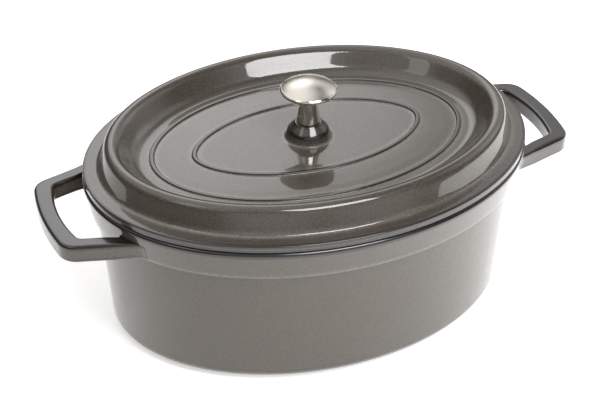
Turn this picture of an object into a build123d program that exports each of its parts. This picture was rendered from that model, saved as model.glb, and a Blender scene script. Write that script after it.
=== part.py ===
"""Oval cocotte: a cast iron pot with two loop handles, and a lid with a metal knob.

Millimetres. +X runs along the handles and +Z up. The origin is the middle of the rest plane,
under the foot ring.

Both castings are ovals. One section is drawn beside an ellipse and swept round it, so every
step, ridge and ring runs parallel to the edge. A section's first coordinate counts outwards
from that ellipse, so inward places are negative, and its second is the height.
"""

import os
from math import atan2, cos, degrees, pi, radians, sin, tan

from build123d import *

# Pot, outside
rim_length = 302.4
rim_width = 228.6
rim_height = 110.5
rim_round = 2.2
band_height = 20.8
band_draft = 4.2
band_round = 1.0
ledge = 3.6
wall_draft = 5.9
bottom_round = 9.0
foot_height = 1.0
foot_width = 6.0
foot_inset = 8.0

# Pot, inside
wall_thickness = 4.4
floor_thickness = 5.2
inside_round = 16.0

# Loop handles
handle_reach = 181.0
handle_thickness = 12.4
handle_bar = 11.5
handle_arm = 10.4
handle_bow = 4.5
handle_half_width = 38.5
handle_splay = 16.0
handle_corner = 13.0
finger_corner = 5.0
handle_edge = 2.6
handle_root_depth = 32.0

# Lid, from its edge to the centre panel
lid_inset = 1.2
flange_thickness = 5.3
flange_under_round = 1.6
flange_top_round = 0.8
flange_width = 10.0
flange_rise = 0.5
ridge_height = 16.1
ridge_rake = 5.2
ridge_crown = 7.3
ridge_outer_round = 5.2
ridge_inner_round = 7.0
ridge_foot_round = 2.6
recess_depth = 13.0
recess_slope = 11.0
recess_round = 9.0
lid_thickness = 4.5
panel_edge = 50.0
underside_foot_shift = 2.7
underside_crest_shift = 1.35

# Lid, locating rib that drops inside the pot's mouth
mouth_clearance = 0.8
rib_depth = 4.0
rib_width = 3.4

# Lid, raised rings, centre boss and basting spikes
outer_ring_inset = 44.5
inner_ring_inset = 72.0
ring_width = 3.8
ring_height = 1.2
ring_flank_angle = 60.0
boss_foot_radius = 15.2
boss_shoulder_radius = 13.6
boss_shoulder_height = 6.6
boss_top_radius = 8.8
boss_height = 12.0
boss_round = 5.0
boss_top_round = 0.6
spike_free_radius = 18.5
spike_radius = 3.0
spike_tip_radius = 1.2
spike_length = 5.0
spike_pitch = 21.0
spike_ovals = 3

# Knob and its fastening
knob_height = 29.6
knob_foot_radius = 8.0
knob_foot_round = 1.0
knob_neck_radius = 4.9
knob_neck_height = 16.5
knob_neck_round = 2.0
knob_radius = 18.7
knob_rim_height = 23.6
knob_lip_radius = 16.9
knob_lip_height = 21.7
knob_shoulder_radius = 17.8
knob_shoulder_height = 24.9
thread_radius = 3.0
thread_clearance = 0.05
thread_in_knob = 14.0
shank_clearance = 0.4
washer_radius = 7.5
washer_thickness = 1.2
screw_head_radius = 5.6
screw_head_height = 3.2
screw_head_round = 1.2
slot_width = 1.4
slot_depth = 1.5

# Worked out from the sizes above
band_bottom = rim_height - band_height
lid_length = rim_length - 2 * lid_inset
lid_width = rim_width - 2 * lid_inset
wall_top_inset = band_draft + ledge
wall_foot_inset = wall_top_inset + wall_draft
inner_slope = wall_draft / (band_bottom - foot_height)
rim_land = wall_top_inset + wall_thickness - inner_slope * band_height
floor_top = foot_height + floor_thickness
inner_foot_inset = wall_foot_inset + wall_thickness - inner_slope * floor_thickness
floor_inset = inner_foot_inset + inside_round + foot_width
foot_outer_inset = wall_foot_inset + foot_inset
seam_overlap = 3.0
flange_top = rim_height + flange_thickness
crest_height = flange_top + flange_rise + ridge_height
panel_top = crest_height - recess_depth
panel_under = panel_top - lid_thickness
boss_top = panel_top + boss_height
ring_sink = 0.5


def section_plane(length):
    """The plane of a section that starts on the oval's end: outwards is +x, up is +y."""
    return Plane(origin=(length / 2, 0, 0), x_dir=(1, 0, 0), z_dir=(0, -1, 0))


# Pot: wall, rim band, floor, foot ring and both handles are one casting
handle_bottom = band_bottom
handle_embed_inset = (band_draft + rim_land) / 2
arm_slope = tan(radians(handle_splay))
arm_across = handle_arm / cos(radians(handle_splay))
handle_side_x = handle_reach - handle_bow
handle_root_x = rim_length / 2 - handle_root_depth
handle_root_half = handle_half_width + arm_slope * (handle_side_x - handle_root_x)
finger_side_x = handle_side_x - handle_bar
finger_half = handle_half_width - arm_across + arm_slope * handle_bar
finger_root_half = handle_root_half - arm_across

with BuildSketch(Plane.XY.offset(handle_bottom)) as finger_gap:
    with BuildLine():
        gap_root_near = (handle_root_x, -finger_root_half)
        gap_root_far = (handle_root_x, finger_root_half)
        gap_near = (finger_side_x, -finger_half)
        gap_far = (finger_side_x, finger_half)
        Line(gap_root_far, gap_root_near)
        Line(gap_root_near, gap_near)
        ThreePointArc(gap_near, (handle_reach - handle_bar, 0), gap_far)
        Line(gap_far, gap_root_far)
    make_face()
    fillet(finger_gap.vertices().filter_by(lambda v: v.X > rim_length / 2), finger_corner)

with BuildPart() as pot:
    for side in (1, -1):
        with BuildSketch(Plane.XY.offset(handle_bottom)) as loop:
            with BuildLine():
                root_near = (side * handle_root_x, -handle_root_half)
                root_far = (side * handle_root_x, handle_root_half)
                corner_near = (side * handle_side_x, -handle_half_width)
                corner_far = (side * handle_side_x, handle_half_width)
                Line(root_far, root_near)
                Line(root_near, corner_near)
                ThreePointArc(corner_near, (side * handle_reach, 0), corner_far)
                Line(corner_far, root_far)
            make_face()
            fillet(loop.vertices().filter_by(lambda v: abs(v.X) > rim_length / 2), handle_corner)
            add(finger_gap.sketch if side > 0 else finger_gap.sketch.mirror(Plane.YZ), mode=Mode.SUBTRACT)
            Ellipse(
                rim_length / 2 - handle_embed_inset,
                rim_width / 2 - handle_embed_inset,
                mode=Mode.SUBTRACT,
            )
        extrude(amount=handle_thickness)
    fillet(
        pot.edges().filter_by(Plane.XY).filter_by(GeomType.ELLIPSE, reverse=True),
        handle_edge,
    )
    with BuildLine(Plane.XY) as rim_oval:
        EllipticalCenterArc((0, 0), rim_length / 2, rim_width / 2, arc_size=360)
    with BuildSketch(section_plane(rim_length)):
        with BuildLine():
            FilletPolyline(
                (0, rim_height),
                (-band_draft, band_bottom),
                (-wall_top_inset, band_bottom),
                (-wall_foot_inset, foot_height),
                (-floor_inset, foot_height),
                (-floor_inset, floor_top),
                (-inner_foot_inset, floor_top),
                (-rim_land, rim_height),
                radius=(
                    rim_round,
                    band_round,
                    0,
                    bottom_round - foot_height,
                    0,
                    0,
                    inside_round,
                    0,
                ),
                close=True,
            )
        make_face()
    sweep(path=rim_oval.wires()[0])
    with BuildSketch(Plane.XY.offset(foot_height)):
        Ellipse(
            rim_length / 2 - floor_inset + seam_overlap,
            rim_width / 2 - floor_inset + seam_overlap,
        )
    extrude(amount=floor_thickness)
    with BuildSketch(Plane.XY):
        Ellipse(rim_length / 2 - foot_outer_inset, rim_width / 2 - foot_outer_inset)
        Ellipse(
            rim_length / 2 - foot_outer_inset - foot_width,
            rim_width / 2 - foot_outer_inset - foot_width,
            mode=Mode.SUBTRACT,
        )
    extrude(amount=foot_height + seam_overlap)
pot.part.label = "pot"

# Lid: flange, ridge, centre panel, rings, boss and spikes are one casting
rib_outer = rim_land - lid_inset + mouth_clearance
crest_outer = flange_width + ridge_rake
crest_inner = crest_outer + ridge_crown
recess_foot = crest_inner + recess_slope
spike_taper = degrees(atan2(spike_radius - spike_tip_radius, spike_length))
spike_oval_step = (lid_width / 2 - recess_foot - spike_free_radius) / spike_ovals

with BuildPart() as lid:
    with BuildLine(Plane.XY) as lid_oval:
        EllipticalCenterArc((0, 0), lid_length / 2, lid_width / 2, arc_size=360)
    with BuildSketch(section_plane(lid_length)):
        with BuildLine():
            FilletPolyline(
                (0, rim_height),
                (0, flange_top),
                (-flange_width, flange_top + flange_rise),
                (-crest_outer, crest_height),
                (-crest_inner, crest_height),
                (-recess_foot, panel_top),
                (-panel_edge, panel_top),
                (-panel_edge, panel_under),
                (-recess_foot + underside_foot_shift, panel_under),
                (-crest_inner + underside_crest_shift, crest_height - lid_thickness),
                (-crest_outer - underside_foot_shift, crest_height - lid_thickness),
                (-rib_outer - rib_width, rim_height),
                (-rib_outer - rib_width, rim_height - rib_depth),
                (-rib_outer, rim_height - rib_depth),
                (-rib_outer, rim_height),
                radius=(
                    flange_under_round,
                    flange_top_round,
                    ridge_foot_round,
                    ridge_outer_round,
                    ridge_inner_round,
                    recess_round,
                    0,
                    0,
                    recess_round,
                    0,
                    0,
                    0,
                    flange_top_round,
                    flange_top_round,
                    0,
                ),
                close=True,
            )
        make_face()
    sweep(path=lid_oval.wires()[0])
    with BuildSketch(Plane.XY.offset(panel_under)):
        Ellipse(
            lid_length / 2 - panel_edge + seam_overlap,
            lid_width / 2 - panel_edge + seam_overlap,
        )
    extrude(amount=lid_thickness)
    for ring_inset in (outer_ring_inset, inner_ring_inset):
        with BuildSketch(section_plane(lid_length)):
            with Locations((-ring_inset, panel_top - ring_sink)):
                Trapezoid(ring_width, ring_height + ring_sink, ring_flank_angle)
        sweep(path=lid_oval.wires()[0])
    with BuildSketch(Plane.XZ):
        with BuildLine():
            FilletPolyline(
                (0, panel_under),
                (boss_foot_radius, panel_under),
                (boss_foot_radius, panel_top),
                (boss_shoulder_radius, panel_top + boss_shoulder_height),
                (boss_top_radius, boss_top),
                (0, boss_top),
                radius=(0, 0, 0, boss_round, boss_top_round, 0),
                close=True,
            )
        make_face()
    revolve(axis=Axis.Z)
    for oval in range(spike_ovals):
        oval_a = (lid_length - lid_width) / 2 + spike_free_radius + spike_oval_step * (oval + 0.5)
        oval_b = spike_free_radius + spike_oval_step * (oval + 0.5)
        spike_count = round(pi * (oval_a + oval_b) / spike_pitch)
        spike_places = [
            (oval_a * cos(2 * pi * n / spike_count), oval_b * sin(2 * pi * n / spike_count))
            for n in range(spike_count)
        ]
        with BuildSketch(Plane.XY.offset(panel_under)):
            with Locations(*spike_places):
                Circle(spike_radius)
        extrude(amount=-spike_length, taper=spike_taper)
    with Locations((0, 0, boss_top)):
        Hole(thread_radius + shank_clearance)
lid.part.label = "lid"

# Knob: turned metal mushroom that stands on the boss
dome_rise = knob_height - knob_shoulder_height
dome_radius = (knob_shoulder_radius**2 + dome_rise**2) / (2 * dome_rise)
dome_half_way = (dome_radius**2 - (knob_shoulder_radius / 2) ** 2) ** 0.5 - dome_radius
with BuildPart() as knob:
    with BuildSketch(Plane.XZ):
        with BuildLine():
            FilletPolyline(
                (0, boss_top),
                (knob_foot_radius, boss_top),
                (knob_neck_radius, boss_top + knob_neck_height),
                (knob_lip_radius, boss_top + knob_lip_height),
                radius=(knob_foot_round, knob_neck_round),
            )
            ThreePointArc(
                (knob_lip_radius, boss_top + knob_lip_height),
                (knob_radius, boss_top + knob_rim_height),
                (knob_shoulder_radius, boss_top + knob_shoulder_height),
            )
            ThreePointArc(
                (knob_shoulder_radius, boss_top + knob_shoulder_height),
                (knob_shoulder_radius / 2, boss_top + knob_height + dome_half_way),
                (0, boss_top + knob_height),
            )
            Line((0, boss_top + knob_height), (0, boss_top))
        make_face()
    revolve(axis=Axis.Z)
    with BuildSketch(Plane.XY.offset(boss_top)):
        Circle(thread_radius + thread_clearance)
    extrude(amount=thread_in_knob + thread_radius, mode=Mode.SUBTRACT)
knob.part.label = "knob"

# Washer and screw under the lid hold the knob down
with BuildPart() as knob_washer:
    with BuildSketch(Plane.XY.offset(panel_under - washer_thickness)):
        Circle(washer_radius)
        Circle(thread_radius + shank_clearance, mode=Mode.SUBTRACT)
    extrude(amount=washer_thickness)
knob_washer.part.label = "knob_washer"

head_top = panel_under - washer_thickness
head_bottom = head_top - screw_head_height
with BuildPart() as knob_screw:
    with BuildSketch(Plane.XY.offset(head_bottom)):
        Circle(screw_head_radius)
    extrude(amount=screw_head_height)
    fillet(knob_screw.faces().sort_by(Axis.Z)[0].edges(), screw_head_round)
    with BuildSketch(Plane.XY.offset(head_top)):
        Circle(thread_radius)
    extrude(amount=boss_top + thread_in_knob - head_top)
    with BuildSketch(Plane.XY.offset(head_bottom)):
        Rectangle(2 * screw_head_radius, slot_width)
    extrude(amount=slot_depth, mode=Mode.SUBTRACT)
knob_screw.part.label = "knob_screw"

os.makedirs("parts", exist_ok=True)
export_step(pot.part, "parts/pot.step")
export_step(lid.part, "parts/lid.step")
export_step(knob.part, "parts/knob.step")
export_step(knob_washer.part, "parts/knob_washer.step")
export_step(knob_screw.part, "parts/knob_screw.step")
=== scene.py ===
"""Dresses the oval cocotte: enamelled castings, a nickel knob and a plain studio.

The pot, the lid and the knob are swept and turned meshes that stand where the frame's solids
are. Their sections are written in millimetres, as (outwards from the oval, height, corner
radius). A glaze value is worked out for each point of a section: the enamel runs thin on
outward corners, where the dark iron shows through, and pools in inward ones. Under the pot's
band this is turned round: its lower edge is made pale, a painted highlight, and the inward
corner under the ledge is made dark, a painted shade.
"""

from math import asin, atan2, cos, exp, pi, radians, sin, tan, tanh

import bpy
from bpy.props import FloatProperty, FloatVectorProperty, PointerProperty
from mathutils import Matrix, Vector


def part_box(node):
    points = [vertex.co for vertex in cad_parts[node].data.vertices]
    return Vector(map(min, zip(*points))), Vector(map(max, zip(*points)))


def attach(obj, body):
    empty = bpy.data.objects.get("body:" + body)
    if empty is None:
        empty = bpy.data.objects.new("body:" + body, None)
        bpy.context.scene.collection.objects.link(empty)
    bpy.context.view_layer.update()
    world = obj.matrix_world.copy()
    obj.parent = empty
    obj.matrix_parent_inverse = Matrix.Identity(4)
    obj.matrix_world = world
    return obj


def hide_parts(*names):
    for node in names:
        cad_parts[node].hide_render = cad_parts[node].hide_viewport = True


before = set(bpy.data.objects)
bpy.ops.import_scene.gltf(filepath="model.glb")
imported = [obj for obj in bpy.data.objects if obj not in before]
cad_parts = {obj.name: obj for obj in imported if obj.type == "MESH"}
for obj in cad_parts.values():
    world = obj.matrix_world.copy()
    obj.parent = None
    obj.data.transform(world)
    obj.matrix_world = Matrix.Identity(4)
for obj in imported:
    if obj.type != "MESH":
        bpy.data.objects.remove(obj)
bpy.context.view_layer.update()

bl_info = {
    "name": "Oval cocotte",
    "version": (1, 0, 0),
    "blender": (4, 5, 0),
    "location": "View3D > Sidebar > Cocotte",
    "description": "Builds an enamelled oval cocotte and its studio",
    "category": "Add Mesh",
}

MM = 0.001
POT_BOX = [Vector(corner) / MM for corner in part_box("pot")]
LID_BOX = [Vector(corner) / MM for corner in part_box("lid")]
KNOB_BOX = [Vector(corner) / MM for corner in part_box("knob")]
LID_LENGTH = LID_BOX[1].x - LID_BOX[0].x
LID_WIDTH = LID_BOX[1].y - LID_BOX[0].y
RIM_HEIGHT = POT_BOX[1].z
REACH = POT_BOX[1].x

# Pot, in millimetres: insets from the rim's edge, widths and corner rounds
RIM_LAND = 3.2
RIM_ROUND = 2.2
MOUTH_ROUND = 1.0
FOOT_INSET = 8.0
FOOT_WIDTH = 6.0
FOOT_FILLET = 0.5
FOOT_ROUND = 0.4
POT_MIDDLE = 70.0

# Handles, in millimetres. A point's y times ROUNDER gives the way the oval's edge faces there,
# and the seat is inset by a share of the band's draft
HANDLE_SPLAY = radians(16.0)
BAR_WIDTH = 11.5
ARM_WIDTH = 10.4
BAR_BOW = 4.5
ARM_SPAN = 38.5
OUTER_CORNER = 13.0
FINGER_CORNER = 5.0
ROOT_FLARE = 4.0
LOWER_EDGE = 2.6
TOP_EDGE = 2.2
SEAT_SHARE = 0.7
ROUNDER = 1.7

# Lid, in millimetres: heights, insets from the lid's edge, widths and corner rounds
FLANGE_RISE = 0.5
FLANGE_LOWER_ROUND = 1.6
FLANGE_UPPER_ROUND = 0.8
SHOULDER_INSET = 10.0
SHOULDER_ROUND = 2.6
RIDGE_RISE = 16.1
RIDGE_INSET = 15.2
RIDGE_WIDTH = 7.3
RECESS_SLOPE = 11.0
LID_MIDDLE = 78.0
RING_FOOT_IN = 0.2
RING_TOP_IN = 0.8
RING_FILLET = 0.7
RING_ROUND = 0.5
RING_CLEAR = 10.0
PANEL_STEPS = (9.0, 18.0)
PANEL_ROUND = 30.0
RIB_INSET = 11.6
RIB_WIDTH = 3.4
RIB_DEPTH = 4.0
RIB_ROUND = 0.8
UNDERSIDE = 114.9
UNDER_FLAT_INSET = 50.0
UNDER_SLOPE_SHIFT = 2.7
UNDER_SLOPE_ROUND = 9.0
UNDER_ROUND = 1.0
INNER_WALL_SHARE = 0.3
OUTER_WALL_SHARE = 0.6

# Boss on the lid, in millimetres
BOSS_LAND = 24.0
BOSS_FOOT = 15.4
BOSS_FILLET = 1.2
BOSS_SIDE = 15.0
BOSS_SHOULDER = 13.6
BOSS_DROP = 5.4
BOSS_ROUND = 5.0
BOSS_FLAT = 8.8
BOSS_EDGE = 0.6
SCREW_HOLE = 3.4
SCREW_HOLE_EDGE = 0.4
WASHER_LAND = 8.0

# Spikes: the profile is (radius, drop below the underside)
SPIKE_PROFILE = ((3.0, -0.5), (3.0, 0.0), (1.6, 4.2), (1.0, 4.9), (0.3, 5.0))
SPIKE_SIDES = 14
SPIKE_OVALS = 3
SPIKE_SPACING = 21.0
SPIKE_FREE = 18.5

# Knob's section: radius, height above its foot and corner round
KNOB_SECTION = (
    (3.05, 14.0, 0),
    (3.05, 0.0, 0),
    (8.0, 0.0, 0.8),
    (4.9, 16.5, 2.0),
    (16.9, 21.7, 0.3),
    (18.65, 22.9, 0.9),
    (18.65, 24.1, 0.9),
    (17.8, 24.9, 0.2),
    (17.5, 25.0, 0),
)
KNOB_TIP = 0.05

# Corner round, and how much glaze follows it: below zero, it pools on an outward corner and runs thin in
# an inward one. The band's weight makes its lower edge pale, a painted highlight, and the ledge's makes
# the inward corner under it dark, a painted shade.
BAND_ROUND_AND_PAINTED_HIGHLIGHT = (1.0, -0.5)
LEDGE_ROUND_AND_PAINTED_SHADE = (1.2, -0.9)
RIDGE_OUTER_CORNER = (5.2, 0.3)
RIDGE_INNER_CORNER = (7.0, 0.3)
RECESS_CORNER = (10.0, 0.5)

# Glaze values, and how far a corner's glaze spreads along its section, in millimetres
PLAIN_GLAZE = 0.5
GLAZE_RESPONSE = 1.3
THIN_SPREAD = 0.5
POOLED_SPREAD = 1.6
BOSS_GLAZE_DROP = 0.06
BAR_TOP_GLAZE = 0.34
BAR_SIDE_GLAZE = 0.47
BAR_CORNER_DROP = 0.30
BAR_EDGE_DROP = 0.12
BAR_EDGE_REACH = 1.2

# Fineness of the meshes: points round a turn, steps along curves and millimetres between points
TURNS = 480
KNOB_TURNS = 160
DOME_STEPS = 28
BLEND_STEPS = 8
ARC_STEP = radians(9)
FEWEST_ARC_STEPS = 4
FINE_STEP = 0.8
INSIDE_STEP = 4.0
UNDER_STEP = 3.0
SAME_PLACE = 1e-4
STRAIGHT_GAP = 1.01
SPREADS_USED = 3
HALVINGS = 40
SEARCH_FROM = 0.3
BURIED_DEPTHS = (5.0, 2.0)
FLARE_STEPS = 10
ARM_STEPS = 12
CORNER_STEPS = 14
BAR_STEPS = 20
BAR_CORNER_STEPS = 7
BAR_SIDE_STEPS = 8
LEAN_ROWS = 16
LEAN_FADE_ROWS = 4

# Studio, in metres: the floor's glow, painted light that stands in for more light falling to the front
# right, rises along its direction, between the ends of its reach
FLOOR_CORNERS = ((-0.8, -0.8), (1.2, 1.4))
PAINTED_LIGHT_DIRECTION = (0.75, -0.66, 0.0)
PAINTED_LIGHT_REACH = (-0.05, 0.60)
PAINTED_LIGHT_STRENGTH = (0.50, 1.7)
LIGHT_AIM = Vector((0, 0, 0.12))
LIGHT_DISTANCE = 1.3
SURROUND_TINT = (1.0, 0.86, 0.76)
SURROUND_STRENGTH = 0.06
SENSOR_WIDTH = 36.0


class CocotteSizes(bpy.types.PropertyGroup):
    """Sizes of the castings' sections, in millimetres"""

    rim_proud: FloatProperty(name="Rim beyond lid", description="How far the rim stands out", default=1.2)
    band_height: FloatProperty(name="Band height", description="Height of the rim band", default=20.8)
    band_draft: FloatProperty(name="Band draft", description="How far the band draws in", default=4.2)
    ledge: FloatProperty(name="Ledge", description="Step from the band to the wall", default=3.6)
    wall_draft: FloatProperty(name="Wall draft", description="How far the wall draws in", default=5.9)
    wall: FloatProperty(name="Wall", description="Thickness of the pot's wall", default=4.4)
    floor: FloatProperty(name="Floor", description="Thickness of the pot's floor", default=5.2)
    foot_height: FloatProperty(name="Foot height", description="Height of the foot ring", default=1.0)
    bottom_round: FloatProperty(name="Bottom round", description="Round under the wall", default=8.0)
    inside_round: FloatProperty(name="Inside round", description="Round in the pot's bottom", default=16.0)
    flange: FloatProperty(name="Flange", description="Thickness of the lid's edge", default=5.3)
    lid_wall: FloatProperty(name="Lid wall", description="Thickness of the lid", default=4.5)
    recess_depth: FloatProperty(name="Recess", description="Depth of the lid's panel", default=14.1)
    crown: FloatProperty(name="Crown", description="How far the lid's panel is domed", default=1.6)
    ring_outer: FloatProperty(name="Outer ring", description="Inset of the outer ring", default=44.5)
    ring_inner: FloatProperty(name="Inner ring", description="Inset of the inner ring", default=72.0)
    ring_width: FloatProperty(name="Ring width", description="Width of a raised ring", default=3.8)
    ring_height: FloatProperty(name="Ring height", description="Height of a raised ring", default=1.2)
    boss_top: FloatProperty(name="Boss top", description="Height of the boss's top", default=131.4)
    handle_thickness: FloatProperty(name="Handle", description="Thickness of a handle", default=12.4)


class CocotteColours(bpy.types.PropertyGroup):
    """Colours of the finishes"""

    # Also paints the shade in the inward corner under the pot's ledge
    thin_glaze: FloatVectorProperty(
        name="Thin glaze",
        description="Enamel over an outward corner",
        subtype="COLOR",
        default=(0.011, 0.008, 0.006),
    )
    pot_glaze: FloatVectorProperty(
        name="Pot glaze",
        description="Enamel on the pot's wall",
        subtype="COLOR",
        default=(0.082, 0.064, 0.042),
    )
    lid_glaze: FloatVectorProperty(
        name="Lid glaze",
        description="Enamel on the lid's faces",
        subtype="COLOR",
        default=(0.086, 0.071, 0.055),
    )
    # Also paints the highlight along the lower edge of the pot's band
    pooled_glaze: FloatVectorProperty(
        name="Pooled glaze",
        description="Enamel in an inward corner",
        subtype="COLOR",
        default=(0.300, 0.280, 0.245),
    )
    black_enamel: FloatVectorProperty(
        name="Black enamel",
        description="Inside of the castings",
        subtype="COLOR",
        default=(0.012, 0.012, 0.012),
    )
    nickel: FloatVectorProperty(
        name="Nickel",
        description="Plating of the knob",
        subtype="COLOR",
        default=(0.78, 0.74, 0.67),
    )
    steel: FloatVectorProperty(
        name="Steel",
        description="Screw and washer",
        subtype="COLOR",
        default=(0.50, 0.50, 0.51),
    )


class CocotteStage(bpy.types.PropertyGroup):
    """Camera and studio"""

    azimuth: FloatProperty(name="Azimuth", description="Camera's azimuth, degrees", default=-22.07)
    elevation: FloatProperty(name="Elevation", description="Camera's elevation, degrees", default=34.78)
    roll: FloatProperty(name="Roll", description="Camera's roll, degrees", default=0.21)
    distance: FloatProperty(
        name="Distance",
        description="Camera to aim point",
        default=1.0035,
        unit="LENGTH",
    )
    aim: FloatVectorProperty(
        name="Aim",
        description="Point the camera looks at",
        default=(-0.0097, -0.0101, 0.0712),
        unit="LENGTH",
    )
    lens: FloatProperty(name="Lens", description="Focal length in millimetres", default=90.0)
    key_watts: FloatProperty(name="Key", description="Power of the key softbox", default=11.5)
    fill_watts: FloatProperty(name="Fill", description="Power of the left softbox", default=0.5)
    sky: FloatProperty(name="Surround", description="Strength of the light all round", default=1.0)


# Sections


def rounded(corners, step=1.6):
    """Points of a section with its corners rounded, as (outwards, height, curvature).

    corners are (x, z, radius) or (x, z, radius, weight). Curvature is 1/radius on an arc, with
    the sign of the turn, times the weight.
    """
    points = []
    last = len(corners) - 1
    for index, (x, z, radius, *more) in enumerate(corners):
        if radius <= 0 or index in (0, last):
            points.append((x, z, 0.0))
            continue
        weight = more[0] if more else 1.0
        here = Vector((x, z))
        before = Vector(corners[index - 1][:2]) - here
        after = Vector(corners[index + 1][:2]) - here
        before.normalize()
        after.normalize()
        half = before.angle(after) / 2
        middle = (before + after).normalized()
        centre = here + middle * (radius / sin(half))
        tangent = radius / tan(half)
        start = here + before * tangent
        end = here + after * tangent
        turn = (here - start).cross(end - here)
        sign = 1.0 if turn > 0 else -1.0
        from_centre = start - centre
        sweep = pi - 2 * half
        steps = max(FEWEST_ARC_STEPS, round(sweep / ARC_STEP))
        for k in range(steps + 1):
            angle = sign * sweep * k / steps
            arm = Matrix.Rotation(angle, 2) @ from_centre
            points.append((centre.x + arm.x, centre.y + arm.y, weight * sign / radius))
    dense = []
    for a, b in zip(points, points[1:]):
        gap = (Vector(b[:2]) - Vector(a[:2])).length
        if gap < SAME_PLACE:
            continue
        dense.append(a)
        pieces = max(1, round(gap / step))
        straight = gap > STRAIGHT_GAP * step
        for k in range(1, pieces):
            share = k / pieces
            bend = 0.0 if straight else a[2] * (1 - share) + b[2] * share
            dense.append((a[0] + (b[0] - a[0]) * share, a[1] + (b[1] - a[1]) * share, bend))
    dense.append(points[-1])
    return dense


def smoothed(lengths, values, spread):
    """The values of a section's points, averaged over a distance along it."""
    result = []
    last = len(lengths) - 1
    for i, s in enumerate(lengths):
        total = weight_sum = 0.0
        for j in range(last + 1):
            reach = (lengths[j] - s) / spread
            if abs(reach) < SPREADS_USED:
                covered = lengths[min(j + 1, last)] - lengths[max(j - 1, 0)]
                weight = covered * exp(-0.5 * reach * reach)
                total += values[j] * weight
                weight_sum += weight
        result.append(total / weight_sum if weight_sum else values[i])
    return result


def glaze_of(points, outward_sign):
    """Glaze value of each point of a section: 0 is thin, 0.5 plain and 1 pooled.

    outward_sign is the sign that the curvature has on an outward corner.
    """
    places = [Vector(p[:2]) for p in points]
    lengths = [0.0]
    for a, b in zip(places, places[1:]):
        lengths.append(lengths[-1] + (b - a).length)
    raw = [-0.5 * tanh(GLAZE_RESPONSE * outward_sign * p[2]) for p in points]
    thin = smoothed(lengths, [min(0.0, value) for value in raw], THIN_SPREAD)
    pooled = smoothed(lengths, [max(0.0, value) for value in raw], POOLED_SPREAD)
    return [PLAIN_GLAZE + a + b for a, b in zip(thin, pooled)]


def oval_place(length, width, angle, out):
    """A point beside an oval: out is the distance outwards, square to its edge."""
    x, y = length / 2 * cos(angle), width / 2 * sin(angle)
    nx, ny = x / (length / 2) ** 2, y / (width / 2) ** 2
    size = (nx * nx + ny * ny) ** 0.5
    return x + out * nx / size, y + out * ny / size


def mesh_piece(name, vertices, faces, finish, materials):
    """A smooth piece in the scene. finish holds the index of each face's material."""
    mesh = bpy.data.meshes.new(name)
    mesh.from_pydata(vertices, [], faces)
    for material in materials:
        mesh.materials.append(material)
    mesh.polygons.foreach_set("material_index", finish)
    mesh.polygons.foreach_set("use_smooth", [True] * len(faces))
    mesh.update()
    piece = bpy.data.objects.new(name, mesh)
    bpy.context.scene.collection.objects.link(piece)
    return piece


class Casting:
    """Collects rings of vertices round the oval and the faces between them."""

    def __init__(self, length, width):
        self.length, self.width = length, width
        self.vertices, self.glaze, self.faces, self.finish = [], [], [], []

    def ring(self, out, height, glaze):
        """A ring of vertices beside the oval, out beyond its edge."""
        first = len(self.vertices)
        for n in range(TURNS):
            x, y = oval_place(self.length, self.width, 2 * pi * n / TURNS, out)
            self.vertices.append((x * MM, y * MM, height * MM))
            self.glaze.append(glaze)
        return first

    def circle(self, radius, height, glaze, blend=1.0, out=0.0):
        """A ring between the oval at out and a round one, with blend 1 for the round one."""
        first = len(self.vertices)
        for n in range(TURNS):
            angle = 2 * pi * n / TURNS
            x, y = oval_place(self.length, self.width, angle, out)
            cx, cy = radius * cos(angle), radius * sin(angle)
            x, y = x + (cx - x) * blend, y + (cy - y) * blend
            self.vertices.append((x * MM, y * MM, height * MM))
            self.glaze.append(glaze)
        return first

    def skin(self, one, two, finish):
        """Faces between two rings, which look outwards when the first is the lower one."""
        for n in range(TURNS):
            m = (n + 1) % TURNS
            self.faces.append((one + n, one + m, two + m, two + n))
            self.finish.append(finish)

    def cap(self, ring, height, glaze, finish):
        """Closes a ring with a fan to its middle."""
        self.vertices.append((0, 0, height * MM))
        self.glaze.append(glaze)
        middle = len(self.vertices) - 1
        for n in range(TURNS):
            self.faces.append((ring + n, ring + (n + 1) % TURNS, middle))
            self.finish.append(finish)

    def shell(self, vertices, faces, glaze, finish):
        """Adds a form that has its own vertices."""
        first = len(self.vertices)
        self.vertices += vertices
        self.glaze += glaze
        self.faces += [tuple(first + v for v in face) for face in faces]
        self.finish += [finish] * len(faces)

    def make(self, name, materials):
        """The casting as a piece, with its glaze as an attribute that its enamel reads."""
        piece = mesh_piece(name, self.vertices, self.faces, self.finish, materials)
        mesh = piece.data
        attribute = mesh.attributes.new("glaze", "FLOAT", "POINT")
        attribute.data.foreach_set("value", self.glaze)
        mesh.validate()
        mesh.update()
        return piece


# Finishes


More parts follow.
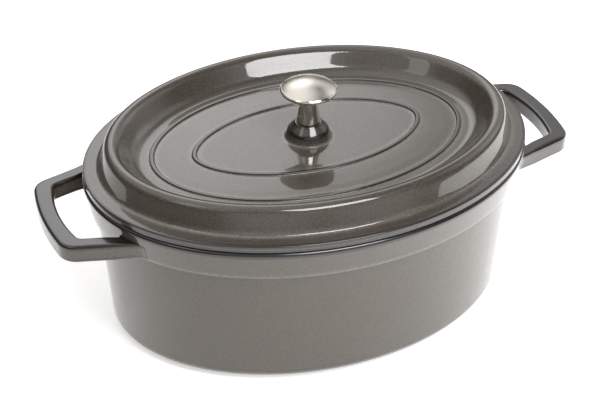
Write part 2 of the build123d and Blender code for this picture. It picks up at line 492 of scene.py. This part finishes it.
class Finish:
    """A material's nodes, added and joined by name."""

    def __init__(self, name):
        self.material = bpy.data.materials.new(name)
        self.material.use_nodes = True
        self.nodes = self.material.node_tree.nodes
        self.links = self.material.node_tree.links
        self.surface = self.nodes["Principled BSDF"]
        self.place = self.nodes.new("ShaderNodeTexCoord").outputs["Object"]

    def set(self, **values):
        for key, value in values.items():
            self.surface.inputs[key.replace("_", " ")].default_value = value

    def join(self, source, target):
        self.links.new(source, target)

    def noise(self, scale, detail, roughness):
        node = self.nodes.new("ShaderNodeTexNoise")
        node.inputs["Scale"].default_value = scale
        node.inputs["Detail"].default_value = detail
        node.inputs["Roughness"].default_value = roughness
        self.join(self.place, node.inputs["Vector"])
        return node.outputs["Fac"]

    def specks(self, scale):
        node = self.nodes.new("ShaderNodeTexVoronoi")
        node.inputs["Scale"].default_value = scale
        self.join(self.place, node.inputs["Vector"])
        return node.outputs["Distance"], node.outputs["Color"]

    def ramp(self, source, stops):
        node = self.nodes.new("ShaderNodeValToRGB")
        band = node.color_ramp
        while len(band.elements) < len(stops):
            band.elements.new(0.5)
        for element, (place, value) in zip(band.elements, stops):
            element.position = place
            colour = value if isinstance(value, (tuple, list)) else (value, value, value)
            element.color = (*colour, 1.0)
        self.join(source, node.inputs["Fac"])
        return node.outputs["Color"]

    def math(self, kind, one, two):
        node = self.nodes.new("ShaderNodeMath")
        node.operation = kind
        for value, socket in ((one, node.inputs[0]), (two, node.inputs[1])):
            if isinstance(value, (int, float)):
                socket.default_value = value
            else:
                self.join(value, socket)
        return node.outputs[0]

    def mix(self, kind, share, one, two):
        node = self.nodes.new("ShaderNodeMix")
        node.data_type = "RGBA"
        node.blend_type = kind
        for value, socket in ((share, node.inputs[0]), (one, node.inputs[6]), (two, node.inputs[7])):
            if isinstance(value, (int, float)):
                socket.default_value = value
            elif isinstance(value, (tuple, list)):
                socket.default_value = (*value, 1.0)
            else:
                self.join(value, socket)
        return node.outputs[2]

    def sway(self, value, noise, amount):
        """The value, moved up and down by a noise."""
        return self.math("ADD", value, self.math("MULTIPLY", self.math("SUBTRACT", noise, 0.5), amount))

    def bump(self, height, strength, distance):
        node = self.nodes.new("ShaderNodeBump")
        node.inputs["Strength"].default_value = strength
        node.inputs["Distance"].default_value = distance
        self.join(height, node.inputs["Height"])
        return node.outputs["Normal"]

    def attribute(self, name):
        node = self.nodes.new("ShaderNodeAttribute")
        node.attribute_name = name
        return node.outputs["Fac"]


def grey_enamel(name, colours, plain, speck_size, speck_depth, coat_roughness, peel):
    """Graphite enamel: thin over outward corners, pooled in inward ones, finely speckled."""
    f = Finish(name)
    thin, plain, pooled = (tuple(c) for c in (colours.thin_glaze, plain, colours.pooled_glaze))
    glaze = f.attribute("glaze")
    drift = f.noise(scale=38.0, detail=3.0, roughness=0.6)
    ragged = f.noise(scale=900.0, detail=2.0, roughness=0.6)
    level = f.sway(f.sway(glaze, drift, amount=0.10), ragged, amount=0.28)
    colour = f.ramp(level, [(0.0, thin), (0.34, thin), (0.47, plain), (0.54, plain), (0.95, pooled)])
    distance, cell = f.specks(1.0 / speck_size)
    spot = f.ramp(distance, [(0.12, 0.0), (0.42, 1.0)])
    chosen = f.ramp(cell, [(0.30, 0.0), (0.62, 1.0)])
    spot = f.math("MAXIMUM", spot, chosen)
    fine = f.noise(scale=1.6 / speck_size, detail=3.0, roughness=0.7)
    grain = f.ramp(fine, [(0.30, 1.0 - speck_depth), (0.62, 1.0)])
    colour = f.mix("MULTIPLY", speck_depth, colour, spot)
    colour = f.mix("MULTIPLY", 1.0, colour, grain)
    f.join(colour, f.surface.inputs["Base Color"])
    roughness = f.ramp(ragged, [(0.3, 0.30), (0.7, 0.42)])
    f.join(roughness, f.surface.inputs["Roughness"])
    f.set(Coat_Weight=1.0, Coat_Roughness=coat_roughness, Coat_IOR=1.55, Specular_IOR_Level=0.35)
    fine_waves = f.noise(scale=150.0, detail=2.0, roughness=0.5)
    broad_waves = f.noise(scale=60.0, detail=1.0, roughness=0.5)
    f.join(f.bump(fine_waves, strength=0.25, distance=peel), f.surface.inputs["Normal"])
    f.join(f.bump(broad_waves, strength=0.2, distance=peel), f.surface.inputs["Coat Normal"])
    return f.material


def black_enamel(colours):
    """Matt black inside enamel, slightly rough to the touch."""
    f = Finish("black_enamel")
    grain = f.noise(scale=1400.0, detail=3.0, roughness=0.6)
    tones = f.ramp(grain, [(0.35, tuple(colours.black_enamel)), (0.75, 0.03)])
    f.join(tones, f.surface.inputs["Base Color"])
    f.join(f.ramp(grain, [(0.3, 0.50), (0.7, 0.68)]), f.surface.inputs["Roughness"])
    f.join(f.bump(grain, strength=0.35, distance=0.0002), f.surface.inputs["Normal"])
    return f.material


def nickel(name, colours, low, high, brushed):
    """Nickel plating: low and high bound its roughness, and brushed is the strength of its grain."""
    f = Finish(name)
    f.set(Metallic=1.0)
    cloud = f.noise(scale=120.0, detail=3.0, roughness=0.6)
    tone = tuple(colours.nickel)
    dull = tuple(0.93 * c for c in tone)
    f.join(f.ramp(cloud, [(0.3, dull), (0.7, tone)]), f.surface.inputs["Base Color"])
    f.join(f.ramp(cloud, [(0.3, low), (0.7, high)]), f.surface.inputs["Roughness"])
    grain = f.noise(scale=2500.0, detail=2.0, roughness=0.6)
    f.join(f.bump(grain, strength=brushed, distance=0.00004), f.surface.inputs["Normal"])
    return f.material


def plain_steel(colours):
    """Zinc plated screw and washer."""
    f = Finish("plain_steel")
    f.set(Metallic=1.0)
    cloud = f.noise(scale=300.0, detail=3.0, roughness=0.6)
    tone = tuple(colours.steel)
    dull = tuple(0.8 * c for c in tone)
    f.join(f.ramp(cloud, [(0.3, dull), (0.7, tone)]), f.surface.inputs["Base Color"])
    f.join(f.ramp(cloud, [(0.3, 0.28), (0.7, 0.45)]), f.surface.inputs["Roughness"])
    f.join(f.bump(cloud, strength=0.2, distance=0.0001), f.surface.inputs["Normal"])
    return f.material


def studio_floor():
    """White floor with a trace of paper grain and a glow that rises across it: painted light, brighter
    towards the front right.
    """
    f = Finish("studio_floor")
    grain = f.noise(scale=700.0, detail=2.0, roughness=0.5)
    f.join(f.ramp(grain, [(0.3, 0.88), (0.7, 0.90)]), f.surface.inputs["Base Color"])
    f.join(f.ramp(grain, [(0.3, 0.80), (0.7, 0.90)]), f.surface.inputs["Roughness"])
    f.join(f.bump(grain, strength=0.05, distance=0.0002), f.surface.inputs["Normal"])
    f.set(Emission_Color=(1.0, 1.0, 1.0, 1.0))
    # Painted light: the floor glows, more strongly towards the front right, in place of light falling
    # unevenly on it
    across = f.nodes.new("ShaderNodeVectorMath")
    across.operation = "DOT_PRODUCT"
    across.inputs[1].default_value = PAINTED_LIGHT_DIRECTION
    f.join(f.place, across.inputs[0])
    glow = f.nodes.new("ShaderNodeMapRange")
    limits = zip(("From Min", "From Max", "To Min", "To Max"), PAINTED_LIGHT_REACH + PAINTED_LIGHT_STRENGTH)
    for label, value in limits:
        glow.inputs[label].default_value = value
    f.join(across.outputs["Value"], glow.inputs["Value"])
    f.join(glow.outputs["Result"], f.surface.inputs["Emission Strength"])
    return f.material


# Handles


def curve_between(start, corner, end, steps):
    """A smooth turn from start to end that heads for corner."""
    places = []
    for k in range(steps + 1):
        t = k / steps
        places.append(start * (1 - t) ** 2 + corner * (2 * t * (1 - t)) + end * t * t)
    return places


def handle_outline(seat_length, seat_width, side_x, half, radius, side):
    """One half of a handle's outline in plan: along an arm, round its corner, to the bar's middle.

    side is 1 for the outer outline, whose root flares away from the arm, and -1 for the inner.
    """
    slope = tan(HANDLE_SPLAY)

    def arm(x):
        return Vector((x, half + slope * (side_x - x)))

    a, b = seat_length / 2, seat_width / 2
    low, high = a * SEARCH_FROM, a
    for _ in range(HALVINGS):
        middle = (low + high) / 2
        inside = (middle / a) ** 2 + (arm(middle).y / b) ** 2 < 1
        low, high = (middle, high) if inside else (low, middle)
    meet = arm(low)
    angle = atan2(meet.y / b, meet.x / a)
    along = Vector((-a * sin(angle), b * cos(angle))).normalized()
    on = Vector((1, -slope)).normalized()
    start = meet + along * ROOT_FLARE * side
    inward = Vector((start.x / a**2, start.y / b**2)).normalized()
    places = [start - inward * depth for depth in BURIED_DEPTHS]
    places += curve_between(start, meet, meet + on * ROOT_FLARE, FLARE_STEPS)

    bar_radius = (half**2 + BAR_BOW**2) / (2 * BAR_BOW)
    bar_centre = Vector((side_x + BAR_BOW - bar_radius, 0))
    within = Vector((-slope, -1)).normalized() * radius
    near, far = 0.0, 3 * radius
    for _ in range(HALVINGS):
        back = (near + far) / 2
        centre = arm(side_x) + within - on * back
        too_far = (centre - bar_centre).length > bar_radius - radius
        near, far = (back, far) if too_far else (near, back)
    first = centre - within
    last = bar_centre + (centre - bar_centre).normalized() * bar_radius
    from_angle = atan2(-within.y, -within.x)
    to_angle = atan2(last.y - centre.y, last.x - centre.x)
    run = first - places[-1]
    places += [places[-1] + run * (k / ARM_STEPS) for k in range(1, ARM_STEPS)]
    for k in range(CORNER_STEPS + 1):
        turn = from_angle + (to_angle - from_angle) * k / CORNER_STEPS
        places.append(centre + Vector((cos(turn), sin(turn))) * radius)
    tilt = asin(last.y / bar_radius)
    for k in range(1, BAR_STEPS + 1):
        turn = tilt * (1 - k / BAR_STEPS)
        places.append(bar_centre + Vector((cos(turn), sin(turn))) * bar_radius)
    return places


def bar_section(across, low, high):
    """A bar's section from its inner side, as (across, height, glaze). The count never changes."""
    corners = [
        (LOWER_EDGE, low + LOWER_EDGE, LOWER_EDGE, -pi),
        (across - LOWER_EDGE, low + LOWER_EDGE, LOWER_EDGE, -pi / 2),
        (across - TOP_EDGE, high - TOP_EDGE, TOP_EDGE, 0.0),
        (TOP_EDGE, high - TOP_EDGE, TOP_EDGE, pi / 2),
    ]
    section = []
    for index, (x, z, radius, start) in enumerate(corners):
        for k in range(BAR_CORNER_STEPS + 1):
            share = k / BAR_CORNER_STEPS
            angle = start + pi / 2 * share
            value = BAR_TOP_GLAZE - BAR_CORNER_DROP * (1 - abs(2 * share - 1))
            section.append((x + radius * cos(angle), z + radius * sin(angle), value))
        next_x, next_z, next_radius, next_start = corners[(index + 1) % len(corners)]
        from_point = Vector(section[-1][:2])
        turned = Vector((cos(next_start), sin(next_start)))
        to_point = Vector((next_x, next_z)) + next_radius * turned
        is_top = z > low + LOWER_EDGE and next_z == z
        plain = BAR_TOP_GLAZE if is_top else BAR_SIDE_GLAZE
        for k in range(1, BAR_SIDE_STEPS):
            place = from_point.lerp(to_point, k / BAR_SIDE_STEPS)
            edge_gap = min(k, BAR_SIDE_STEPS - k) / BAR_SIDE_STEPS * (to_point - from_point).length
            value = plain - BAR_EDGE_DROP * max(0.0, 1 - edge_gap / BAR_EDGE_REACH)
            section.append((place.x, place.y, value))
    return section


def handle_shell(outer, inner, low, high, lean, sign):
    """A loop handle: a rounded bar section carried between its outer and inner outlines.

    Its roots lean out by lean for each millimetre of height, as the band does.
    """
    outer = outer + [Vector((p.x, -p.y)) for p in reversed(outer[:-1])]
    inner = inner + [Vector((p.x, -p.y)) for p in reversed(inner[:-1])]
    vertices, glaze, faces = [], [], []
    rows = len(outer)
    for row, (far, near) in enumerate(zip(outer, inner)):
        across = (far - near).length
        share = (far - near) / across
        section = bar_section(across, low, high)
        from_root = min(row, rows - 1 - row)
        held = max(0.0, min(1.0, (LEAN_ROWS - from_root) / LEAN_FADE_ROWS))
        outward = Vector((far.x, far.y * ROUNDER)).normalized()
        for x, z, value in section:
            place = near + share * x + outward * (held * lean * (z - (low + high) / 2))
            vertices.append((sign * place.x * MM, place.y * MM, z * MM))
            glaze.append(value)
    per = len(section)
    for row in range(rows - 1):
        for k in range(per):
            m = (k + 1) % per
            face = (row * per + k, row * per + m, (row + 1) * per + m, (row + 1) * per + k)
            faces.append(face[::-1] if sign > 0 else face)
    start = tuple(range(per))
    end = tuple(range((rows - 1) * per, rows * per))
    faces.append(start if sign > 0 else start[::-1])
    faces.append(end[::-1] if sign > 0 else end)
    return vertices, faces, glaze


def lathe(name, profiles, materials):
    """A turned piece. profiles are lists of (radius, height), one for each material."""
    vertices, faces, finish = [], [], []
    for slot, profile in enumerate(profiles):
        first = len(vertices)
        for radius, height in profile:
            for n in range(KNOB_TURNS):
                angle = 2 * pi * n / KNOB_TURNS
                vertices.append((radius * cos(angle) * MM, radius * sin(angle) * MM, height * MM))
        for row in range(len(profile) - 1):
            one, two = first + row * KNOB_TURNS, first + (row + 1) * KNOB_TURNS
            for n in range(KNOB_TURNS):
                m = (n + 1) % KNOB_TURNS
                faces.append((one + n, one + m, two + m, two + n))
                finish.append(slot)
    return mesh_piece(name, vertices, faces, finish, materials)


# Pieces


# Slots of a casting's two enamels
OUTSIDE, INSIDE = 0, 1


class COCOTTE_OT_pot(bpy.types.Operator):
    """Builds the pot: wall, rim band, foot ring, inside and both loop handles"""

    bl_idname = "cocotte.pot"
    bl_label = "Pot"

    def execute(self, context):
        s = context.scene.cocotte_sizes
        colours = context.scene.cocotte_colours
        band_bottom = RIM_HEIGHT - s.band_height
        wall_top = s.band_draft + s.ledge
        wall_foot = wall_top + s.wall_draft
        slope = s.wall_draft / (band_bottom - s.foot_height)
        land = wall_top + s.wall - slope * s.band_height
        floor_top = s.foot_height + s.floor
        inner_foot = wall_foot + s.wall - slope * s.floor
        foot_outer = wall_foot + FOOT_INSET
        foot_inner = foot_outer + FOOT_WIDTH

        casting = Casting(LID_LENGTH + 2 * s.rim_proud, LID_WIDTH + 2 * s.rim_proud)
        outside = rounded([
            (-RIM_LAND, RIM_HEIGHT, 0),
            (0.0, RIM_HEIGHT, RIM_ROUND),
            # Painted highlight: the band's lower edge gets pooled, pale glaze. Painted shade: the inward
            # corner under the ledge gets thin, dark glaze
            (-s.band_draft, band_bottom, *BAND_ROUND_AND_PAINTED_HIGHLIGHT),
            (-wall_top, band_bottom, *LEDGE_ROUND_AND_PAINTED_SHADE),
            (-wall_foot, s.foot_height, s.bottom_round),
            (-foot_outer, s.foot_height, FOOT_FILLET),
            (-foot_outer, 0.0, FOOT_ROUND),
            (-foot_inner, 0.0, FOOT_ROUND),
            (-foot_inner, s.foot_height, FOOT_FILLET),
            (-POT_MIDDLE, s.foot_height, 0),
        ])
        # These glaze values also carry the painted highlight and the painted shade under the band
        glaze = glaze_of(outside, outward_sign=-1.0)
        rings = [casting.ring(x, z, value) for (x, z, _), value in zip(outside, glaze)]
        for one, two in zip(rings, rings[1:]):
            casting.skin(two, one, OUTSIDE)
        centre_ring = casting.ring(-POT_MIDDLE, s.foot_height, PLAIN_GLAZE)
        casting.cap(centre_ring, s.foot_height, PLAIN_GLAZE, OUTSIDE)
        inside = rounded([
            (-RIM_LAND, RIM_HEIGHT, 0),
            (-land, RIM_HEIGHT, MOUTH_ROUND),
            (-inner_foot, floor_top, s.inside_round),
            (-POT_MIDDLE, floor_top, 0),
        ], step=INSIDE_STEP)
        rings = [casting.ring(x, z, PLAIN_GLAZE) for x, z, _ in inside]
        for one, two in zip(rings, rings[1:]):
            casting.skin(one, two, INSIDE)
        casting.cap(rings[-1], floor_top, PLAIN_GLAZE, INSIDE)

        seat = SEAT_SHARE * s.band_draft
        seat_size = (casting.length - 2 * seat, casting.width - 2 * seat)
        side_x = REACH - BAR_BOW
        finger_span = ARM_SPAN - ARM_WIDTH / cos(HANDLE_SPLAY) + tan(HANDLE_SPLAY) * BAR_WIDTH
        outer = handle_outline(*seat_size, side_x, ARM_SPAN, OUTER_CORNER, 1)
        inner = handle_outline(*seat_size, side_x - BAR_WIDTH, finger_span, FINGER_CORNER, -1)
        top = band_bottom + s.handle_thickness
        lean = s.band_draft / s.band_height
        for sign in (1, -1):
            shell = handle_shell(outer, inner, band_bottom, top, lean, sign)
            casting.shell(*shell, OUTSIDE)

        enamel = grey_enamel(
            "pot_enamel",
            colours,
            colours.pot_glaze,
            speck_size=0.0011,
            speck_depth=0.60,
            coat_roughness=0.12,
            peel=0.0006,
        )
        pot = casting.make("pot_casting", [enamel, black_enamel(colours)])
        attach(pot, "pot")
        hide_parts("pot")
        return {"FINISHED"}


class COCOTTE_OT_lid(bpy.types.Operator):
    """Builds the lid: flange, ridge, recessed panel, rings, boss, rib and spikes"""

    bl_idname = "cocotte.lid"
    bl_label = "Lid"

    def execute(self, context):
        s = context.scene.cocotte_sizes
        colours = context.scene.cocotte_colours
        flange_top = RIM_HEIGHT + s.flange
        shoulder = flange_top + FLANGE_RISE
        crest = shoulder + RIDGE_RISE
        panel = crest - s.recess_depth
        top = panel + s.crown
        crest_inner = RIDGE_INSET + RIDGE_WIDTH
        recess_foot = crest_inner + RECESS_SLOPE
        rib_inner = RIB_INSET + RIB_WIDTH
        rib_bottom = RIM_HEIGHT - RIB_DEPTH

        def panel_at(inset):
            """Height of the crowned panel at an inset from the lid's edge."""
            share = min(1.0, (inset - recess_foot) / (LID_MIDDLE - recess_foot))
            return panel + s.crown * (1 - (1 - share) ** 2)

        casting = Casting(LID_LENGTH, LID_WIDTH)
        corners = [
            (-RIB_INSET, RIM_HEIGHT, 0),
            (0.0, RIM_HEIGHT, FLANGE_LOWER_ROUND),
            (0.0, flange_top, FLANGE_UPPER_ROUND),
            (-SHOULDER_INSET, shoulder, SHOULDER_ROUND),
            (-RIDGE_INSET, crest, *RIDGE_OUTER_CORNER),
            (-crest_inner, crest, *RIDGE_INNER_CORNER),
            (-recess_foot, panel, *RECESS_CORNER),
        ]
        low, high = s.ring_width / 2 - RING_FOOT_IN, s.ring_width / 2 - RING_TOP_IN
        for inset in (s.ring_outer, s.ring_inner):
            height = panel_at(inset)
            corners += [
                (-inset + low, height, RING_FILLET),
                (-inset + high, height + s.ring_height, RING_ROUND),
                (-inset - high, height + s.ring_height, RING_ROUND),
                (-inset - low, height, RING_FILLET),
            ]
            if inset < LID_MIDDLE - RING_CLEAR:
                for reach in PANEL_STEPS:
                    corners.append((-inset - reach, panel_at(inset + reach), PANEL_ROUND))
        corners.append((-LID_MIDDLE, top, 0))
        outside = rounded(corners)
        glaze = glaze_of(outside, outward_sign=1.0)
        rings = [casting.ring(x, z, value) for (x, z, _), value in zip(outside, glaze)]
        for k in range(1, BLEND_STEPS + 1):
            rings.append(casting.circle(BOSS_LAND, top, PLAIN_GLAZE, k / BLEND_STEPS, -LID_MIDDLE))
        boss = rounded([
            (BOSS_LAND, top, 0),
            (BOSS_FOOT, top, BOSS_FILLET),
            (BOSS_SHOULDER, s.boss_top - BOSS_DROP, BOSS_ROUND),
            (BOSS_FLAT, s.boss_top, BOSS_EDGE),
            (SCREW_HOLE, s.boss_top, SCREW_HOLE_EDGE),
            (SCREW_HOLE, UNDERSIDE, 0),
        ], step=FINE_STEP)
        glaze = glaze_of(boss, outward_sign=1.0)
        for (x, z, _), value in list(zip(boss, glaze))[1:]:
            drop = BOSS_GLAZE_DROP if x < BOSS_SIDE else 0.0
            rings.append(casting.circle(x, z, value - drop))
        for one, two in zip(rings, rings[1:]):
            casting.skin(one, two, OUTSIDE)

        flat = (SCREW_HOLE, WASHER_LAND, SPIKE_FREE)
        rings = [casting.circle(radius, UNDERSIDE, PLAIN_GLAZE) for radius in flat]
        for k in reversed(range(BLEND_STEPS)):
            blend = k / BLEND_STEPS
            rings.append(casting.circle(SPIKE_FREE, UNDERSIDE, PLAIN_GLAZE, blend, -UNDER_FLAT_INSET))
        below = rounded([
            (-UNDER_FLAT_INSET, UNDERSIDE, 0),
            (-recess_foot + UNDER_SLOPE_SHIFT, UNDERSIDE, UNDER_SLOPE_ROUND),
            (-crest_inner + INNER_WALL_SHARE * s.lid_wall, crest - s.lid_wall, UNDER_ROUND),
            (-RIDGE_INSET - OUTER_WALL_SHARE * s.lid_wall, crest - s.lid_wall, UNDER_ROUND),
            (-rib_inner, RIM_HEIGHT, UNDER_ROUND),
            (-rib_inner, rib_bottom, RIB_ROUND),
            (-RIB_INSET, rib_bottom, RIB_ROUND),
            (-RIB_INSET, RIM_HEIGHT, 0),
        ], step=UNDER_STEP)
        rings += [casting.ring(x, z, PLAIN_GLAZE) for x, z, _ in below[1:]]
        for one, two in zip(rings, rings[1:]):
            casting.skin(one, two, INSIDE)

        pitch = (LID_WIDTH / 2 - recess_foot - SPIKE_FREE) / SPIKE_OVALS
        for oval in range(SPIKE_OVALS):
            b = SPIKE_FREE + pitch * (oval + 0.5)
            a = b + (LID_LENGTH - LID_WIDTH) / 2
            count = round(pi * (a + b) / SPIKE_SPACING)
            for n in range(count):
                angle = 2 * pi * n / count
                casting.shell(*spike(a * cos(angle), b * sin(angle)), INSIDE)

        enamel = grey_enamel(
            "lid_enamel",
            colours,
            colours.lid_glaze,
            speck_size=0.0013,
            speck_depth=0.60,
            coat_roughness=0.04,
            peel=0.0005,
        )
        lid = casting.make("lid_casting", [enamel, black_enamel(colours)])
        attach(lid, "lid")
        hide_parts("lid")
        return {"FINISHED"}


def spike(x, y):
    """A basting spike that hangs from the lid's underside at x, y."""
    vertices, faces = [], []
    per = SPIKE_SIDES
    for radius, drop in SPIKE_PROFILE:
        for n in range(per):
            angle = 2 * pi * n / per
            place = (x + radius * cos(angle), y + radius * sin(angle), UNDERSIDE - drop)
            vertices.append(tuple(value * MM for value in place))
    last = len(SPIKE_PROFILE) - 1
    for row in range(last):
        for n in range(per):
            m = (n + 1) % per
            faces.append((row * per + m, row * per + n, (row + 1) * per + n, (row + 1) * per + m))
    faces.append(tuple(reversed(range(last * per, (last + 1) * per))))
    return vertices, faces, [PLAIN_GLAZE] * len(vertices)


class COCOTTE_OT_knob(bpy.types.Operator):
    """Builds the turned knob, with a satin cap and a polished edge and stem"""

    bl_idname = "cocotte.knob"
    bl_label = "Knob"

    def execute(self, context):
        colours = context.scene.cocotte_colours
        foot, top = KNOB_BOX[0].z, KNOB_BOX[1].z
        section = [(x, foot + z, radius) for x, z, radius in KNOB_SECTION]
        stem = [(x, z) for x, z, _ in rounded(section, step=FINE_STEP)]
        shoulder, shoulder_height, _ = KNOB_SECTION[-1]
        rise = top - foot - shoulder_height
        dome_radius = (shoulder**2 + rise**2) / (2 * rise)
        first = asin(shoulder / dome_radius)
        dome = []
        for k in range(DOME_STEPS + 1):
            angle = first * (1 - k / DOME_STEPS)
            x, z = dome_radius * sin(angle), top - dome_radius * (1 - cos(angle))
            dome.append((max(KNOB_TIP, x), z))
        polished = nickel("polished_nickel", colours, low=0.10, high=0.16, brushed=0.05)
        satin = nickel("satin_nickel", colours, low=0.26, high=0.33, brushed=0.12)
        knob = lathe("knob_turned", [stem, dome], [polished, satin])
        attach(knob, "lid")
        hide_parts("knob")
        return {"FINISHED"}


class COCOTTE_OT_fastening(bpy.types.Operator):
    """Gives the screw and washer under the lid their plated steel finish"""

    bl_idname = "cocotte.fastening"
    bl_label = "Screw and washer"

    def execute(self, context):
        steel = plain_steel(context.scene.cocotte_colours)
        for node in ("knob_washer", "knob_screw"):
            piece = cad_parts[node]
            piece.data.materials.clear()
            piece.data.materials.append(steel)
        return {"FINISHED"}


# Studio


def aimed(obj, place, aim):
    """Puts a light at place and turns it to face aim."""
    obj.location = place
    obj.rotation_euler = (Vector(aim) - Vector(place)).to_track_quat("-Z", "Y").to_euler()


def from_angles(azimuth, elevation):
    """A light's place seen from the lid, in degrees; azimuth 0 is in front and 90 to the right."""
    turn, rise = radians(azimuth), radians(elevation)
    flat = LIGHT_DISTANCE * cos(rise)
    return Vector((flat * sin(turn), -flat * cos(turn), LIGHT_DISTANCE * sin(rise)))


def softbox(name, azimuth, elevation, size, watts):
    """A rectangular area light that faces the lid."""
    data = bpy.data.lights.new(name, "AREA")
    data.shape = "RECTANGLE"
    data.size, data.size_y = size
    data.energy = watts
    lamp = bpy.data.objects.new(name, data)
    bpy.context.scene.collection.objects.link(lamp)
    aimed(lamp, LIGHT_AIM + from_angles(azimuth, elevation), LIGHT_AIM)


# Soft lights of the surround: direction, cosines where each starts and is full, and strength
WORLD_LIGHTS = (
    ((-0.22, 0.38, 0.90), 0.72, 0.98, 1.3),
    ((0.35, 0.76, 0.54), 0.94, 0.995, 1.0),
    ((0.13, 0.84, 0.53), 0.94, 0.995, 1.8),
    ((0.78, 0.45, 0.42), 0.90, 0.99, 0.8),
    ((0.80, 0.10, 0.55), 0.90, 0.99, 1.0),
    ((0.36, -0.91, 0.21), 0.88, 0.98, 0.8),
    ((-0.33, -0.92, 0.21), 0.88, 0.98, 0.8),
    ((-0.56, -0.32, 0.77), 0.90, 0.99, 0.8),
    ((-0.76, 0.07, 0.64), 0.90, 0.99, 0.2),
)


class COCOTTE_OT_stage(bpy.types.Operator):
    """Sets the white floor, the softboxes, the surrounding light and the camera"""

    bl_idname = "cocotte.stage"
    bl_label = "Studio"

    def execute(self, context):
        scene = context.scene
        s = scene.cocotte_stage
        mesh = bpy.data.meshes.new("floor")
        (x1, y1), (x2, y2) = FLOOR_CORNERS
        mesh.from_pydata([(x1, y1, 0), (x2, y1, 0), (x2, y2, 0), (x1, y2, 0)], [], [(0, 1, 2, 3)])
        mesh.materials.append(studio_floor())
        floor = bpy.data.objects.new("floor", mesh)
        scene.collection.objects.link(floor)

        softbox("key_softbox", azimuth=14.0, elevation=55.0, size=(0.64, 0.50), watts=s.key_watts)
        softbox("left_softbox", azimuth=-72.0, elevation=50.0, size=(0.30, 0.40), watts=s.fill_watts)

        world = bpy.data.worlds.new("studio")
        scene.world = world
        world.use_nodes = True
        nodes, links = world.node_tree.nodes, world.node_tree.links
        facing = nodes.new("ShaderNodeTexCoord").outputs["Generated"]
        total = nodes["Background"]
        total.inputs["Color"].default_value = (*SURROUND_TINT, 1.0)
        total.inputs["Strength"].default_value = SURROUND_STRENGTH * s.sky
        for direction, low, high, strength in WORLD_LIGHTS:
            toward = nodes.new("ShaderNodeVectorMath")
            toward.operation = "DOT_PRODUCT"
            toward.inputs[1].default_value = Vector(direction).normalized()
            links.new(facing, toward.inputs[0])
            fade = nodes.new("ShaderNodeMapRange")
            fade.interpolation_type = "SMOOTHSTEP"
            fade.inputs["From Min"].default_value = low
            fade.inputs["From Max"].default_value = high
            fade.inputs["To Max"].default_value = strength * s.sky
            links.new(toward.outputs["Value"], fade.inputs["Value"])
            glow = nodes.new("ShaderNodeBackground")
            links.new(fade.outputs["Result"], glow.inputs["Strength"])
            both = nodes.new("ShaderNodeAddShader")
            links.new(total.outputs[0], both.inputs[0])
            links.new(glow.outputs[0], both.inputs[1])
            total = both
        links.new(total.outputs[0], nodes["World Output"].inputs["Surface"])

        data = bpy.data.cameras.new("photo_camera")
        data.lens = s.lens
        data.sensor_fit = "HORIZONTAL"
        data.sensor_width = SENSOR_WIDTH
        camera = bpy.data.objects.new("photo_camera", data)
        scene.collection.objects.link(camera)
        azimuth, elevation, roll = (radians(v) for v in (s.azimuth, s.elevation, s.roll))
        forward = Vector((-sin(azimuth) * cos(elevation), cos(azimuth) * cos(elevation), -sin(elevation)))
        level = Vector((cos(azimuth), sin(azimuth), 0))
        upward = level.cross(forward)
        right = level * cos(roll) + upward * sin(roll)
        up = right.cross(forward)
        place = Vector(s.aim) - forward * s.distance
        columns = Matrix((right, up, -forward)).transposed()
        camera.matrix_world = Matrix.Translation(place) @ columns.to_4x4()
        scene.camera = camera
        scene.view_settings.view_transform = "Standard"
        return {"FINISHED"}


class COCOTTE_PT_sidebar(bpy.types.Panel):
    """Sizes, colours and steps of the cocotte"""

    bl_idname = "COCOTTE_PT_sidebar"
    bl_label = "Cocotte"
    bl_space_type = "VIEW_3D"
    bl_region_type = "UI"
    bl_category = "Cocotte"

    def draw(self, context):
        column = self.layout.column()
        for step in STEPS:
            column.operator(step.bl_idname)
        for group in GROUPS:
            settings = getattr(context.scene, group)
            column.label(text=settings.bl_rna.name)
            for name in settings.__annotations__:
                column.prop(settings, name)


STEPS = (COCOTTE_OT_pot, COCOTTE_OT_lid, COCOTTE_OT_knob, COCOTTE_OT_fastening, COCOTTE_OT_stage)
GROUPS = {"cocotte_sizes": CocotteSizes, "cocotte_colours": CocotteColours, "cocotte_stage": CocotteStage}


def register():
    for group in GROUPS.values():
        bpy.utils.register_class(group)
    for step in STEPS:
        bpy.utils.register_class(step)
    bpy.utils.register_class(COCOTTE_PT_sidebar)
    for name, group in GROUPS.items():
        setattr(bpy.types.Scene, name, PointerProperty(type=group))


def unregister():
    for name in GROUPS:
        delattr(bpy.types.Scene, name)
    bpy.utils.unregister_class(COCOTTE_PT_sidebar)
    for step in reversed(STEPS):
        bpy.utils.unregister_class(step)
    for group in reversed(list(GROUPS.values())):
        bpy.utils.unregister_class(group)


def main():
    register()
    bpy.ops.cocotte.pot()
    bpy.ops.cocotte.lid()
    bpy.ops.cocotte.knob()
    bpy.ops.cocotte.fastening()
    bpy.ops.cocotte.stage()


if __name__ == "__main__":
    main()
